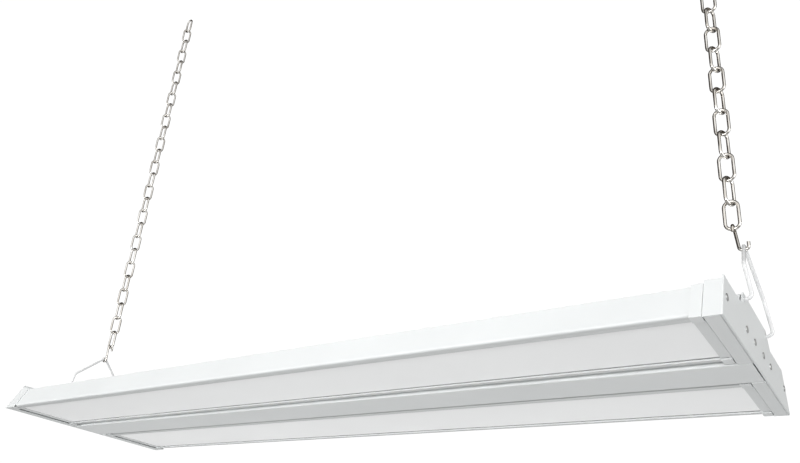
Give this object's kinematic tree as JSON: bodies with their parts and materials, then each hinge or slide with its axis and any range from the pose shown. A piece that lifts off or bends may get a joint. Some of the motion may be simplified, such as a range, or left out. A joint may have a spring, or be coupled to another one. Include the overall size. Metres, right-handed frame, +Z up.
{
  "type": "linear high bay light",
  "caption": "Long white suspended luminaire with opal panels either side of a driver channel, sloped end plates, wire bows, hooks and link chains for hanging.",
  "frame": {"origin": "centre of the underside of the fitting, on the plane of the end plates' lower edges", "axes": "+X along the length, +Y to the rear module, +Z up along the chains"},
  "size_m": [1.2084, 0.346, 1.0473],
  "materials": {
    "white_sheet": "white powder coat, satin",
    "white_wire": "white painted wire, satin",
    "opal_panel": "opal diffuser, satin, unlit",
    "plated_wire": "bright nickel-plated steel",
    "plated_screw": "zinc-plated steel",
    "board": "white solder mask on an aluminium board",
    "light_package": "phosphor-filled package",
    "driver_case": "brushed case",
    "terminal_plastic": "moulded terminal strip",
    "gland_plastic": "white moulded nylon",
    "seal_rubber": "soft black seal"
  },
  "bodies": {
    "root": {"box_rivets_front": "plated_screw", "box_rivets_rear": "plated_screw", "box_top_screws": "plated_screw", "chain_left": "plated_wire", "chain_right": "plated_wire", "cover_bracket_left": "white_sheet", "cover_bracket_right": "white_sheet", "driver_box": "white_sheet", "driver_cover": "white_sheet", "end_bracket_left": "white_sheet", "end_bracket_right": "white_sheet", "end_plate_left": "white_sheet", "end_plate_nuts_left": "plated_screw", "end_plate_nuts_right": "plated_screw", "end_plate_right": "white_sheet", "end_plate_screws_left": "plated_screw", "end_plate_screws_right": "plated_screw", "gland_body": "gland_plastic", "gland_locknut": "gland_plastic", "gland_nut": "gland_plastic", "gland_seal": "seal_rubber", "hanger_left": "white_wire", "hanger_right": "white_wire", "led_board_front": "board", "led_board_rear": "board", "led_driver_left": "driver_case", "led_driver_right": "driver_case", "leds_front": "light_package", "leds_rear": "light_package", "lens_front": "opal_panel", "lens_rear": "opal_panel", "module_cap_front_left": "white_sheet", "module_cap_front_right": "white_sheet", "module_cap_rear_left": "white_sheet", "module_cap_rear_right": "white_sheet", "module_housing_front": "white_sheet", "module_housing_rear": "white_sheet", "s_hook_left": "plated_wire", "s_hook_right": "plated_wire", "terminal_block": "terminal_plastic", "top_link_left": "plated_wire", "top_link_right": "plated_wire"}
  },
  "joints": []
}
